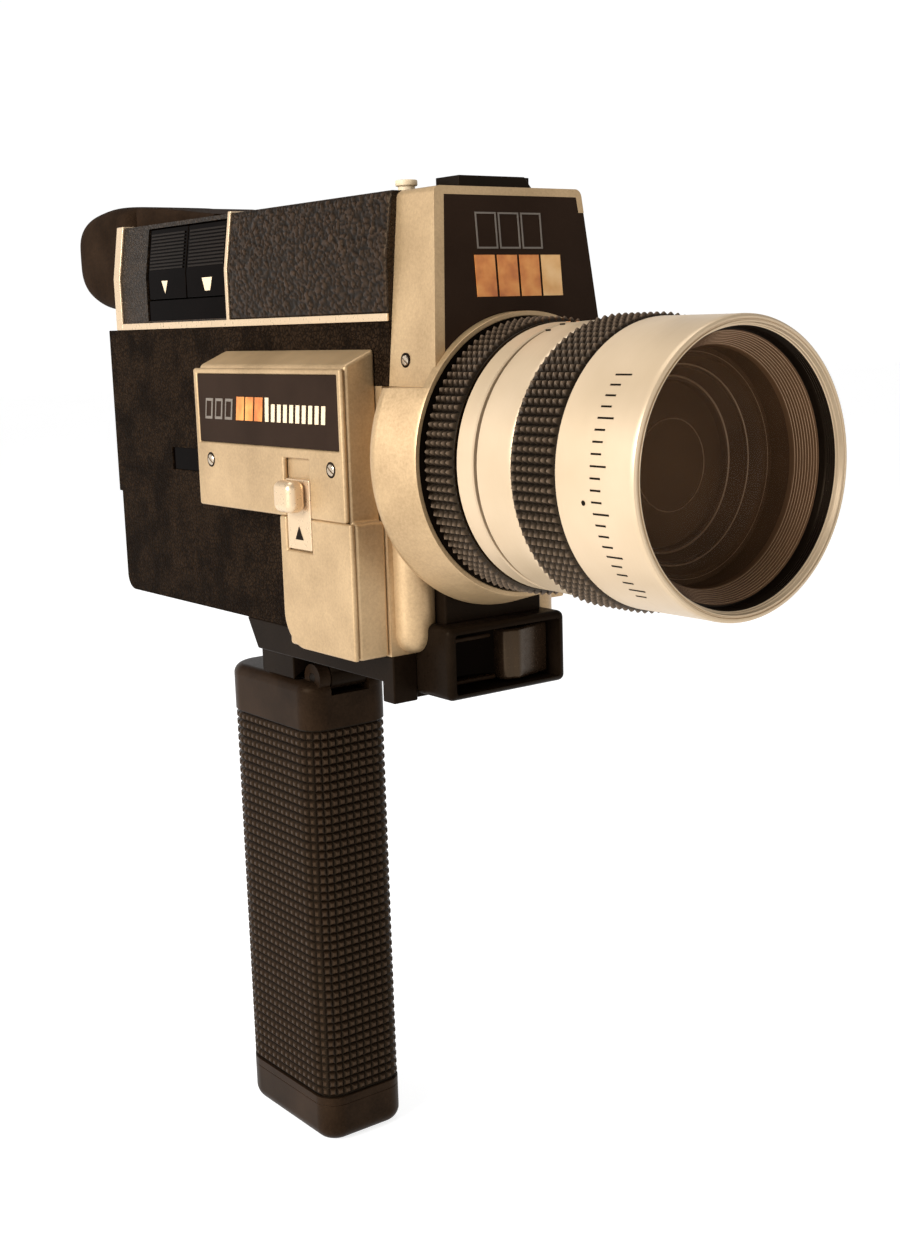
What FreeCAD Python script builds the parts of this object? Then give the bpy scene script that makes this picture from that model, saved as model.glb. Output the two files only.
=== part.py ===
import FreeCAD, Part
import Sketcher
import os
import re

# Cine camera with a zoom lens, a reflex finder and a folding battery grip.
# Millimetres. Origin: mouth of the tripod socket under the body. +Z up, the lens looks along -Y,
# +X is the operator's left, where the film door is.
# Every y below is counted from the front rim of the lens, every z from the lens axis.

doc = FreeCAD.newDocument("cine_camera")
sheet = doc.addObject("Spreadsheet::Sheet", "Dims")

CELLS = [
    ("rim_y", -125), ("axis_z", 60),
    ("half_wide", 25.4), ("shell_front", 110), ("shell_rear", 236.5), ("shell_low", -46.8),
    ("shell_top", 32), ("lean_z", 47), ("roof_z", 61.5), ("roof_half", 23.2), ("upper_rear", 226),
    ("tube_bore", 21), ("tube_rad", 24.5), ("fit_gap", 0.08), ("sleeve_rad", 27.5),
    ("barrel_rad", 31.3), ("thread_rad", 29), ("cell_rad", 29.9), ("glass_rad", 25),
    ("focus_rad", 32.2), ("zoom_rad", 32), ("collar_rad", 31), ("index_rad", 30.6),
    ("focus_front", 23.3), ("focus_back", 37.5), ("collar_back", 50.2),
    ("zoom_front", 57.5), ("zoom_back", 67.9), ("lip_front", 68.3), ("lip_rad", 33.4),
    ("flange_front", 80.5), ("flange_back", 88), ("cast_front", 92), ("flange_rad", 36.8),
    ("bell_back", 83.5), ("neck_rad", 25),
    ("cast_low", -48.2), ("cast_top", 17), ("rib_x", 18.5), ("rib_y", 92), ("rib_rad", 5.5),
    ("box_face", 35.5), ("box_step", 34), ("box_front", 94.5), ("low_front", 92.7), ("box_back", 165),
    ("base_low", -60), ("base_floor", -55), ("hood_half", 17), ("cup_half", 19), ("eye_z", 50),
    ("trig_half", 18.3), ("trig_low", -58.5), ("trig_top", -40.5), ("trig_face", 78),
    ("grip_half", 14), ("grip_front", 150), ("grip_back", 199), ("grip_top", -66.5),
    ("block_low", -80), ("sleeve_low", -191), ("foot_low", -193.3), ("cap_low", -205),
    ("grip_front_rad", 6.5), ("grip_back_rad", 10.5), ("grip_edge", 3), ("cap_edge", 4),
    ("pivot_y", 154), ("pivot_z", -65.5), ("knuckle_rad", 4), ("pin_rad", 1.5),
    ("aa_rad", 7.25), ("aa_long", 50.5), ("aa_step", 7.5), ("socket_rad", 3.175),
    ("door_front", 148.6), ("door_back", 229.9), ("door_low", -44), ("door_top", 29.5),
    ("door_in", 21.7), ("hinge_x", 27), ("hinge_y", 230.8),
    ("cover_round", 9), ("cup_round", 7), ("corner_round", 4.5),
]
for row, (name, value) in enumerate(CELLS, 1):
    sheet.set("A%d" % row, name)
    sheet.set("B%d" % row, str(value))
    sheet.setAlias("B%d" % row, name)
doc.recompute()
NAMES = {name for name, value in CELLS}
parts = []


def text(value):
    """An expression with its cell names pointed at the sheet."""
    return re.sub(r"[a-z_]+", lambda w: "Dims." + w.group() if w.group() in NAMES else w.group(), str(value))


def along_y(value):
    return text("rim_y + (%s)" % value)


def along_z(value):
    return text("axis_z + (%s)" % value)


def worked_out(expression):
    """The number that an expression comes to, read back from a spare cell."""
    sheet.set("D1", "=" + expression.replace("Dims.", ""))
    sheet.recompute()
    return float(sheet.get("D1"))


def span(low, high):
    return text("(%s) - (%s)" % (high, low))


def place(obj, x, y, z):
    obj.setExpression("Placement.Base.x", text(x))
    obj.setExpression("Placement.Base.y", along_y(y))
    obj.setExpression("Placement.Base.z", along_z(z))
    return obj


def box(x, y, z):
    """A box from pairs of low and high coordinates."""
    obj = doc.addObject("Part::Box", "box")
    obj.setExpression("Length", span(*x))
    obj.setExpression("Width", span(*y))
    obj.setExpression("Height", span(*z))
    return place(obj, x[0], y[0], z[0])


TURNS = {"x": ((0, 1, 0), 90), "y": ((1, 0, 0), -90), "z": ((0, 0, 1), 0)}


def turned(obj, axis, centre, low):
    """Lay a solid of revolution along x, y or z, starting at low, through centre."""
    vector, angle = TURNS[axis]
    obj.Placement = FreeCAD.Placement(FreeCAD.Vector(), FreeCAD.Rotation(FreeCAD.Vector(*vector), angle))
    spot = list(centre)
    spot.insert("xyz".index(axis), low)
    return place(obj, *spot)


def rod(axis, centre, radius, low, high):
    obj = doc.addObject("Part::Cylinder", "rod")
    obj.setExpression("Radius", text(radius))
    obj.setExpression("Height", span(low, high))
    return turned(obj, axis, centre, low)


def cone(axis, centre, first, second, low, high):
    obj = doc.addObject("Part::Cone", "cone")
    obj.setExpression("Radius1", text(first))
    obj.setExpression("Radius2", text(second))
    obj.setExpression("Height", span(low, high))
    return turned(obj, axis, centre, low)


def ball(centre, radius):
    obj = doc.addObject("Part::Sphere", "ball")
    obj.setExpression("Radius", text(radius))
    return place(obj, *centre)


def fuse(*items):
    obj = doc.addObject("Part::MultiFuse", "fuse")
    obj.Shapes = list(items)
    obj.Refine = True
    return obj


def common(*items):
    obj = doc.addObject("Part::MultiCommon", "common")
    obj.Shapes = list(items)
    return obj


def cut(base, *tools):
    obj = doc.addObject("Part::Cut", "cut")
    obj.Base = base
    obj.Tool = tools[0] if len(tools) == 1 else fuse(*tools)
    obj.Refine = True
    return obj


def tube(axis, centre, inner, outer, low, high):
    return cut(rod(axis, centre, outer, low, high), rod(axis, centre, inner, low, high))


PLANES = {"x": "YZ_Plane", "y": "XZ_Plane", "z": "XY_Plane"}


def prism(axis, points, low, high):
    """A straight-sided outline, drawn square to x, y or z and padded from low to high."""
    body = doc.addObject("PartDesign::Body", "body")
    sketch = body.newObject("Sketcher::SketchObject", "outline")
    plane = [f for f in body.Origin.OriginFeatures if f.Role == PLANES[axis]][0]
    sketch.AttachmentSupport = [(plane, "")]
    sketch.MapMode = "FlatFace"
    makers = {"x": (along_y, along_z), "y": (text, along_z), "z": (text, along_y)}[axis]
    texts = [(makers[0](u), makers[1](v)) for u, v in points]
    # a rough closed outline first, then the sheet drives every corner
    corners = [FreeCAD.Vector(worked_out(u), worked_out(v), 0) for u, v in texts]
    for index, corner in enumerate(corners):
        sketch.addGeometry(Part.LineSegment(corner, corners[(index + 1) % len(corners)]))
    for index in range(len(corners)):
        sketch.addConstraint(Sketcher.Constraint("Coincident", index, 2, (index + 1) % len(corners), 1))
    for index, corner in enumerate(corners):
        for kind, value, source in (("DistanceX", corner.x, texts[index][0]),
                                    ("DistanceY", corner.y, texts[index][1])):
            number = sketch.addConstraint(Sketcher.Constraint(kind, -1, 1, index, 1, value))
            sketch.setExpression("Constraints[%d]" % number, source)
    pad = body.newObject("PartDesign::Pad", "pad")
    pad.Profile = sketch
    pad.setExpression("Length", span(low, high))
    body.Tip = pad
    start = {"x": text(low), "y": along_y(high), "z": along_z(low)}[axis]
    body.setExpression("Placement.Base." + axis, start)
    return body


def rounded(base, *rounds):
    """Fillet the straight edges that each test picks, by the radius in its cell."""
    doc.recompute()
    obj = doc.addObject("Part::Fillet", "rounded")
    obj.Base = base
    edges = []
    for number, edge in enumerate(base.Shape.Edges, 1):
        middle = edge.CenterOfMass
        spot = (middle.x, middle.y - sheet.rim_y, middle.z - sheet.axis_z)
        line = edge.Vertexes[-1].Point - edge.Vertexes[0].Point
        line = line.normalize() if line.Length > 1e-6 else line
        for test, cell in rounds:
            if edge.Curve.TypeId == "Part::GeomLine" and test(spot, line):
                size = sheet.get(cell)
                edges.append((number, size, size))
                break
    obj.Edges = edges
    return obj


def node(name, obj):
    """Name a finished sub-part after the file it is written to."""
    obj.Label = name
    parts.append(obj)
    return obj


LENS = (0, 0)


def lens_parts():
    node("lens_tube", tube("y", LENS, "tube_bore", "tube_rad", 42, "flange_back"))
    node("index_collar", tube("y", LENS, "tube_rad", "index_rad", 51, 57.2))
    node("relay_lens", rod("y", LENS, "tube_bore", 83, "flange_back"))
    node("zoom_ring", tube("y", LENS, "tube_rad + fit_gap", "zoom_rad", "zoom_front", "zoom_back"))
    node("variator_cell", tube("y", LENS, 16, "tube_bore - fit_gap", 50, 62))
    node("variator_lens", rod("y", LENS, 16, 52, 60))
    node("helicoid_carrier", tube("y", LENS, "tube_rad + fit_gap", 26, 34, 50))
    node("focus_sleeve", tube("y", LENS, "26 + fit_gap", "sleeve_rad", 24, 41.6))
    node("focus_ring", tube("y", LENS, "sleeve_rad", "focus_rad", "focus_front", "focus_back"))
    node("focus_collar", cut(
        cone("y", LENS, "collar_rad", "index_rad", "focus_back", "collar_back"),
        rod("y", LENS, "sleeve_rad", "focus_back", "collar_back")))
    node("front_barrel", tube("y", LENS, "cell_rad", "barrel_rad", 0, "focus_front"))
    node("front_cell", cut(
        rod("y", LENS, "cell_rad", 0.6, "focus_front"),
        rod("y", LENS, "thread_rad", 0.6, 5.5),
        rod("y", LENS, 27.2, 5.5, 7.5), rod("y", LENS, 26.2, 7.5, 9.5),
        rod("y", LENS, "glass_rad", 9.5, "focus_front")))
    node("front_element", fuse(
        rod("y", LENS, "glass_rad", 10.8, 17),
        common(rod("y", LENS, "glass_rad", 5, 10.8), ball((0, 70.8, 0), 65))))


def housing_parts():
    """Finder housing over the lens, its black front panel, and the flared flange they meet."""
    raw = common(
        prism("y", [(-26, 17), (-21.8, "roof_z"), (21.8, "roof_z"), (26, 17)], 60, "flange_back"),
        prism("x", [(69.8, 17), ("flange_back", 17), ("flange_back", "roof_z"), (73.8, "roof_z")], -30, 30))
    opening = rod("y", LENS, "lip_rad", 60, "flange_back")
    hollow = fuse(rod("y", LENS, "lip_rad", 60, 71), rod("y", LENS, "neck_rad", 71, "flange_back"))
    slab = common(
        prism("y", [(-22.6, 24), (-19.2, 59.6), (20.2, 59.6), (20.6, 56), (30, 56), (30, 24)], 60, "flange_back"),
        prism("x", [(69.8, 17), (71, 17), (75, "roof_z"), (73.8, "roof_z")], -30, 30), raw)
    panel = cut(slab, opening)
    node("front_panel", panel)
    node("finder_housing", cut(raw, hollow, panel, box((-11, 11), (80, 87.5), (61.2, 62))))
    flare = fuse(
        cone("y", LENS, "lip_rad", "flange_rad", "lip_front", "flange_front"),
        rod("y", LENS, "flange_rad", "flange_front", "bell_back"),
        rod("y", LENS, "neck_rad", "bell_back", "cast_front"))
    above = cut(box((-40, 40), (60, 93), ("cast_top", 40)),
                rod("y", LENS, "lip_rad", 60, 71), rod("y", LENS, "neck_rad", 71, "flange_back"))
    node("lens_flange", cut(flare, rod("y", LENS, "tube_rad", "lip_front", "cast_front"), above))


def casting_parts():
    """Silver front casting with its two upright ribs, and the trigger box below the lens."""
    disc = fuse(rod("y", LENS, "flange_rad", 60, "bell_back"), rod("y", LENS, "neck_rad", 60, "cast_front"))
    ribs = []
    for side in (-1, 1):
        x = "%d * rib_x" % side
        ribs.append(rod("z", (x, "rib_y"), "rib_rad", -42.5, 0))
        ribs.append(ball((x, "rib_y", -42.5), "rib_rad"))
    notch = box(("-trig_half", "trig_half"), ("cast_front", 94), ("cast_low", "trig_top"))
    plate = cut(
        box(("-half_wide", "half_wide"), ("cast_front", "shell_front"), ("cast_low", "cast_top")),
        rod("y", LENS, 12, "cast_front", "shell_front"), notch)
    rib_set = cut(fuse(*ribs), box((-16.6, 16.6), (80, 94.5), (-60, "trig_top")))
    trimmed = cut(rib_set, disc, box((-30, 30), (98, 120), (-60, 20)))
    node("front_casting", fuse(plate, trimmed))
    shell = fuse(
        box(("-trig_half", "trig_half"), ("trig_face", 94), ("trig_low", "trig_top")),
        box((-15, 15), (82, "cast_front"), ("trig_top", -31)))
    node("trigger_housing", cut(shell, disc, rib_set, box((-15.5, 15.5), ("trig_face", 92.4), (-56.7, -43))))
    face = [(15.1, 82), (4, 79.4), (1, 80.2), (0.2, 84.5), (-15.1, 86.5), (-15.1, 89), (15.1, 89)]
    node("trigger", prism("z", face, -56.3, -43.4))


def side_parts():
    """Grey control box on the operator's right."""
    sloped = prism("y", [("-half_wide", -15), ("-half_wide", 25.8), ("-box_step", 22.1), ("-box_step", -15)],
                   "box_front", "box_back")
    low = box(("-box_step", "-half_wide"), ("low_front", 124.8), ("cast_low", -15))
    hollows = [box(("2 - box_step", "-half_wide"), (97, 162), (-12, 19)),
               box(("2 - box_step", "-half_wide"), (97, 121.8), (-45, -12))]
    node("side_housing", cut(fuse(sloped, low), *hollows))
    skin = ("-box_face", "-box_step")
    name_y, name_z = (96.4, 163.9), (2.15, 19.9)
    node("upper_cover", cut(
        box(skin, ("box_front", 166), (-15, 21.4)),
        box(skin, name_y, name_z), box(skin, (110, 121.7), (-15, -0.5))))
    node("side_nameplate", box(("0.2 - box_face", "-box_step"), name_y, name_z))
    low_cover = cut(
        box(skin, ("low_front", 124.8), ("cast_low", -15)), box(skin, (110, 121.7), (-23.4, -15)))
    corner = lambda spot, line: abs(line.x) > 0.9 and spot[1] > 124 and spot[2] < -48
    node("lower_cover", rounded(low_cover, (corner, "cover_round")))
    node("run_lever", fuse(
        box(("0.2 - box_face", "-0.1 - box_step"), (110.4, 121.3), (-23, -5.5)),
        box((-40.5, "0.2 - box_face"), (111.5, 120), (-13.5, -5.5))))
    heads = [rod("x", spot, 1.9, "-0.5 - box_face", "-box_face") for spot in ((158.4, -2.6), (99.9, -2.4))]
    node("cover_screws", fuse(*heads))
    node("left_cover", cut(
        box(("half_wide", 30), (92, 146), (-40, 22)),
        rod("x", (119, 6), "3 + fit_gap", 27, 30), rod("x", (119, -20), "3 + fit_gap", 27, 30)))
    for name, z in (("exposure_dial", 6), ("speed_dial", -20)):
        node(name, fuse(rod("x", (119, z), 11, 30.2, 34.4), rod("x", (119, z), 3, 27.2, 30.2)))


def shell_parts():
    """Film chamber housing with its door, and what sits inside it."""
    outline = [("shell_front", "shell_low"), ("shell_front", "cast_top"), ("flange_back", "cast_top"),
               ("flange_back", "shell_top"), ("shell_rear", "shell_top"), ("shell_rear", -16.5),
               (234.7, -16.5), (234.7, "shell_low")]
    solid = prism("x", outline, "-half_wide", "half_wide")
    lower = lambda spot, line: abs(line.x) > 0.9 and spot[1] > 234 and spot[2] < -46
    solid = rounded(solid, (lower, "corner_round"))
    spindle = (190, -7)
    node("body_shell", cut(
        solid,
        box((-22, 22), (113, 147), (-43, 28.5)),
        box((-11, "half_wide"), (152, 229.5), (-43, 28.5)),
        box((-22, -13), (152, 229.5), (-43, 28.5)),
        box((21.4, "half_wide"), (148, 230.3), (-44.3, 29.8)),
        rod("y", LENS, 12, "shell_front", 113), rod("y", LENS, 6, 147, 152),
        box((-8, 8), (151.2, 152), (-10, 10)),
        box(("-half_wide", -23.9), (185, 200), (-8, -1.7)),
        rod("x", spindle, "3 + fit_gap", -13, -11)))
    node("counter_window", box((-24.9, -23.9), (185, 200), (-8, -1.7)))
    node("film_gate", cut(box((-8, 8), (151.2, 152.2), (-10, 10)), box((-2.9, 2.9), (151, 153), (-2.1, 2.1))))
    disc = (0, -18)
    node("shutter_motor", cut(rod("y", disc, 8, 113, 132), rod("y", disc, "pin_rad + fit_gap", 124, 132)))
    node("shutter_disc", cut(
        fuse(rod("y", disc, 21.4, 139, 140), rod("y", disc, 3.5, 137, 142), rod("y", disc, "pin_rad", 125, 137)),
        box((4, 30), (139, 140), (-14, 20))))
    node("winding_motor", cut(rod("x", spindle, 8, -22, -14.5), rod("x", spindle, "pin_rad + fit_gap", -21, -14.5)))
    node("takeup_spindle", fuse(rod("x", spindle, 3, -13.5, -9), rod("x", spindle, "pin_rad", -20.5, -13.5),
                                box((-9.5, -9), (185.4, 194.6), (-8, -6))))


def door_parts():
    z_in, z_out = (-19.8, 9.8), (-30, 20)
    pivot = ("hinge_x", "hinge_y")
    leaf = ("half_wide", "half_wide + 0.8")
    latch = (157, -7)
    node("film_door", cut(
        fuse(box(("door_in", "half_wide"), ("door_front", "door_back"), ("door_low", "door_top")),
             box(leaf, (222, 230.2), z_in), rod("z", pivot, 1.4, *z_in)),
        rod("z", pivot, "0.7 + fit_gap", *z_in), rod("x", latch, "2.5 + fit_gap", 22.4, "half_wide")))
    arch = cut(box((16, "door_in"), (175, 205), (-20, 5)), box((17, "door_in"), (177, 203), (-20, 5)))
    node("cartridge_spring", arch)
    node("door_latch", fuse(
        rod("x", latch, 7, "half_wide + 0.1", 27.4), rod("x", latch, 2.5, 22.6, "half_wide + 0.1"),
        box((27.4, 29.6), (155.6, 158.4), (-13.4, -0.6))))
    pieces = [box(leaf, (232.6, 234.4), z_out)]
    for low, high in ((-30, -20), (10, 20)):
        pieces += [box(leaf, (231, 232.6), (low, high)), rod("z", pivot, 1.4, low, high)]
    node("door_hinge", fuse(*pieces, rod("z", pivot, 0.7, *z_out)))


def upper_outline(grow):
    left = [("-(half_wide + %s)" % grow, "shell_top"), ("-(half_wide + %s)" % grow, "lean_z"),
            ("-(roof_half + %s)" % grow, "roof_z + %s" % grow)]
    right = [("half_wide + %s" % grow, "shell_top"), ("half_wide + %s" % grow, "lean_z"),
             ("roof_half + %s" % grow, "roof_z + %s" % grow)]
    return left + right[::-1]


def upper_parts():
    """Finder tunnel with the power zoom keys, trims, shoe, button and eyepiece."""
    eye = (0, "eye_z")
    button = (-16.2, 92)
    knob = (215, 48)
    tunnel = prism("y", upper_outline(0), "flange_back", "upper_rear")
    node("upper_body", cut(
        tunnel,
        box((-17.5, 17.5), (91, 222), (35, 58.5)),
        box((-27, -18.5), (163.2, 209.8), (34.3, 60.3)),
        rod("y", eye, 8, 222, "upper_rear"),
        rod("z", button, "2 + fit_gap", 53.5, "roof_z"),
        rod("x", knob, "2 + fit_gap", 20, "half_wide")))
    strips = cut(fuse(
        prism("y", upper_outline(0.5), 161.8, 163.2),
        box(("-half_wide - 0.5", "half_wide + 0.5"), ("flange_back", "upper_rear"), ("shell_top", 33.8))),
        prism("y", upper_outline(0), 80, 240))
    node("body_trim", strips)
    node("rear_trim", cut(prism("y", upper_outline(0.5), "upper_rear", 230), rod("y", eye, 8, "upper_rear", 230)))
    key = [(-24.9, 40.3), (-24.9, 47), (-23, 60), (-20.3, 60), (-22.3, 47), (-22.3, 40.3)]
    node("wide_key", prism("y", key, 163.6, 186.3))
    node("tele_key", prism("y", key, 186.7, 209.4))
    node("key_sill", box((-25, -18.5), (163.2, 209.8), (34.3, 40)))
    rails = [box((x, x + 1), (80, 87.5), (61.5, 64.4)) for x in (-11, 10)]
    lips = [box((x, x + 3), (80, 87.5), (63.6, 64.4)) for x in (-11, 8)]
    stop = prism("y", [(-11, 61.5), (-11, 64.4), (8.5, 64.4), (11, 61.5)], 78.6, 80.6)
    node("accessory_shoe", fuse(box((-11, 11), (80, 87.5), (61.2, 61.7)), stop, *(rails + lips)))
    node("top_button", fuse(rod("z", button, 2.6, 62.8, 64.2), rod("z", button, 2, 56, 62.8)))
    node("eyepiece_tube", tube("y", eye, 6.6, 8, 218, 240))
    node("eyepiece_lens", rod("y", eye, 6.6, 233, 236))
    hood = [(184, "roof_z"), (184, 63), (217, 67), (230, 68), (230, "roof_z + 0.5"),
            ("upper_rear", "roof_z + 0.5"), ("upper_rear", "roof_z")]
    node("eyepiece_hood", prism("x", hood, "-hood_half", "hood_half"))
    cup = [(230, 37.5), (243, 37.5), (257, 38.4), (266, 41.5), (270.2, 47), (271.4, 54.7), (269, 62.3),
           (262, 68), (250.5, 69.4), (230, 68)]
    solid = prism("x", cup, "-cup_half", "cup_half")
    rear = lambda spot, line: abs(abs(spot[0]) - sheet.cup_half) < 0.1 and spot[1] > 240 and abs(line.x) < 0.1
    solid = rounded(solid, (rear, "cup_round"))
    node("eyecup", cut(solid, rod("y", eye, 8, 230, 240), cone("y", (0, 54.5), 7.5, 10, 240, 272)))
    node("dioptre_knob", fuse(rod("x", knob, 5, 25.6, 28.6), rod("x", knob, 2, 20.4, 25.6)))


def base_parts():
    """Black base block with the tripod socket and the grip's fixed knuckle and neck."""
    outline = [(91.5, "base_low"), (91.5, "cast_low"), ("shell_front", "cast_low"),
               ("shell_front", "shell_low"), (161.5, "shell_low"), (156.5, "base_floor"),
               (96.5, "base_floor"), (96.5, "base_low")]
    pivot = ("pivot_y", "pivot_z")
    solid = prism("x", outline, "-half_wide", "half_wide")
    notch = box(("-trig_half", "trig_half"), (91.5, 94), ("base_low", "cast_low"))
    boss = rod("z", (0, 125), 9, "base_low", "base_floor + 1")
    neck = box((-13, 13), (158.8, 176), ("grip_top + 0.4", "shell_low"))
    lug = fuse(cut(solid, notch), boss, neck, box((-6, 6), (150.5, 160), ("pivot_z", "base_floor + 1")),
               rod("x", pivot, "knuckle_rad", -6, 6))
    node("base_block", cut(lug, rod("z", (0, 125), 6, "base_low", -50),
                           rod("x", pivot, "pin_rad + fit_gap", -6, 6)))
    node("tripod_bush", cut(rod("z", (0, 125), 6, "base_low", -50),
                            rod("z", (0, 125), "socket_rad", "base_low", -52)))


def grip_outline(low, high, inset, front, back):
    """Upright rounded block of the grip's plan, drawn in by inset."""
    solid = box(("%s - grip_half" % inset, "grip_half - %s" % inset),
                ("grip_front + %s" % inset, "grip_back - %s" % inset), (low, high))
    upright_front = lambda spot, line: abs(line.z) > 0.9 and spot[1] < 160
    upright_back = lambda spot, line: abs(line.z) > 0.9 and spot[1] > 190
    return rounded(solid, (upright_front, front), (upright_back, back))


def edge_round(solid, level, cell):
    """Round every edge that lies at one level, corners included."""
    doc.recompute()
    obj = doc.addObject("Part::Fillet", "edge_round")
    obj.Base = solid
    size = sheet.get(cell)
    goal = sheet.axis_z + level
    obj.Edges = [(number, size, size) for number, edge in enumerate(solid.Shape.Edges, 1)
                 if abs(edge.BoundBox.ZMin - goal) < 0.01 and abs(edge.BoundBox.ZMax - goal) < 0.01]
    return obj


def grip_parts():
    pivot = ("pivot_y", "pivot_z")
    block = edge_round(grip_outline("block_low", "grip_top", 0, "grip_front_rad", "grip_back_rad"),
                       sheet.grip_top, "grip_edge")
    ears = [rod("x", pivot, "knuckle_rad", low, low + 3.6) for low in (-10, 6.4)]
    node("grip_block", cut(fuse(block, *ears), box((-6.4, 6.4), (149, 158.6), (-70.5, -60)),
                           rod("x", pivot, "pin_rad", -10, 10)))
    node("grip_pin", rod("x", pivot, "pin_rad", -10, 10))
    core = grip_outline("foot_low", "block_low", 2, "corner_round", "cover_round")
    node("grip_sleeve", cut(grip_outline("sleeve_low", "block_low", 0, "grip_front_rad", "grip_back_rad"), core))
    foot = grip_outline("foot_low", "sleeve_low", 0, "grip_front_rad", "grip_back_rad")
    spots = [(0, "174.5 - aa_step"), (0, "174.5 + aa_step")]
    wells = [rod("z", spot, "aa_rad", "foot_low", "foot_low + 2 * aa_long") for spot in spots]
    node("grip_shell", cut(fuse(core, foot), *wells))
    cells = []
    for spot in spots:
        for floor in (0, 1):
            low = "foot_low + %d * aa_long" % floor
            cells.append(rod("z", spot, "aa_rad", low, "%s + aa_long" % low))
    obj = doc.addObject("Part::Compound", "cells")
    obj.Links = cells
    node("battery_cells", obj)
    node("battery_cap", edge_round(
        grip_outline("cap_low", "foot_low", 0, "grip_front_rad", "grip_back_rad"), sheet.cap_low, "cap_edge"))


lens_parts()
housing_parts()
casting_parts()
side_parts()
shell_parts()
door_parts()
upper_parts()
base_parts()
grip_parts()
doc.recompute()

bad = []
for item in doc.Objects:
    if "Invalid" in item.State or "Error" in item.State:
        bad.append(item.Label + " " + ",".join(item.State))
for item in parts:
    if item.Shape.isNull() or not item.Shape.isValid() or not item.Shape.Solids:
        bad.append(item.Label + " has no valid shape")
if bad:
    raise SystemExit("not built: " + "; ".join(bad))
os.makedirs("parts", exist_ok=True)
for item in parts:
    item.Shape.exportStep("parts/%s.step" % item.Label)
print(len(parts), "parts written")
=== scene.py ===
import bpy
import bmesh
from math import radians, sin, cos, asin, pi, sqrt, hypot
from mathutils import Vector, Matrix
from mathutils.noise import voronoi, noise as noise_value, noise_vector


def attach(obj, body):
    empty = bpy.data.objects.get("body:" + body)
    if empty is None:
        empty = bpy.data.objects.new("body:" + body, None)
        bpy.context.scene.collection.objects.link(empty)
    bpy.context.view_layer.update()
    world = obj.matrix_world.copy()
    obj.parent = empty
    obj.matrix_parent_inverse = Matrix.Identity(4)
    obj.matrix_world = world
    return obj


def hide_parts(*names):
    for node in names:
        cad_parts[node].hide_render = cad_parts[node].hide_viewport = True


# Looks for the cine camera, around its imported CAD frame.
# Pieces are laid out in millimetres: x across, y back from the front rim of the lens, z up from the lens axis.

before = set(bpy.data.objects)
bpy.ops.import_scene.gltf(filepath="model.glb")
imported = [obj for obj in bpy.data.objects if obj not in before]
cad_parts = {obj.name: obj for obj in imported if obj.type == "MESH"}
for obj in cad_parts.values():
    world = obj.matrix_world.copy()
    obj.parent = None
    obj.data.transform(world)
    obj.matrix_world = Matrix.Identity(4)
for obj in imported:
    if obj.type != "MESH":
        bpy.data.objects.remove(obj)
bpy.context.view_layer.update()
RIM_Y, AXIS_Z = 125, 60


def P(x, y, z):
    """Millimetres from rim and axis, to the frame's metres."""
    return Vector((x, y - RIM_Y, z + AXIS_Z)) / 1000


# ---------------------------------------------------------------- materials

def ramp(tree, source, stops):
    node = tree.nodes.new("ShaderNodeValToRGB")
    while len(node.color_ramp.elements) < len(stops):
        node.color_ramp.elements.new(0.5)
    for element, (position, colour) in zip(node.color_ramp.elements, stops):
        element.position = position
        element.color = (*colour, 1)
    tree.links.new(source, node.inputs["Fac"])
    return node.outputs["Color"]


def scaled(tree, stretch):
    """Object coordinates, in metres, stretched along each axis."""
    coords = tree.nodes.new("ShaderNodeTexCoord")
    mapping = tree.nodes.new("ShaderNodeMapping")
    mapping.inputs["Scale"].default_value = stretch
    tree.links.new(coords.outputs["Object"], mapping.inputs["Vector"])
    return mapping.outputs["Vector"]


def noise(tree, scale, detail=4, rough=0.6, stretch=(1, 1, 1), warp=0.0):
    node = tree.nodes.new("ShaderNodeTexNoise")
    node.inputs["Scale"].default_value = scale
    node.inputs["Detail"].default_value = detail
    node.inputs["Roughness"].default_value = rough
    node.inputs["Distortion"].default_value = warp
    tree.links.new(scaled(tree, stretch), node.inputs["Vector"])
    return node.outputs["Fac"]


def remap(tree, source, low, high, first=0.0, last=1.0):
    node = tree.nodes.new("ShaderNodeMapRange")
    for name, value in (("From Min", first), ("From Max", last), ("To Min", low), ("To Max", high)):
        node.inputs[name].default_value = value
    tree.links.new(source, node.inputs["Value"])
    return node.outputs["Result"]


def cells(tree, scale, stretch=(1, 1, 1), wobble=0.0, feature="DISTANCE_TO_EDGE"):
    """Distance to the nearest crease of a wobbly cell pattern, for hide grain."""
    node = tree.nodes.new("ShaderNodeTexVoronoi")
    node.feature = feature
    node.inputs["Scale"].default_value = scale
    place = scaled(tree, stretch)
    if wobble:
        shift = tree.nodes.new("ShaderNodeTexNoise")
        shift.inputs["Scale"].default_value = scale * 0.6
        shift.inputs["Detail"].default_value = 2
        tree.links.new(place, shift.inputs["Vector"])
        mix = tree.nodes.new("ShaderNodeMix")
        mix.data_type = "VECTOR"
        mix.inputs["Factor"].default_value = wobble
        tree.links.new(place, mix.inputs[4])
        tree.links.new(shift.outputs["Color"], mix.inputs[5])
        place = mix.outputs[1]
    tree.links.new(place, node.inputs["Vector"])
    return node.outputs["Distance"]


def bump(tree, height, strength, depth, after=None):
    node = tree.nodes.new("ShaderNodeBump")
    node.inputs["Strength"].default_value = strength
    node.inputs["Distance"].default_value = depth
    tree.links.new(height, node.inputs["Height"])
    if after is not None:
        tree.links.new(after, node.inputs["Normal"])
    return node.outputs["Normal"]


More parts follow.
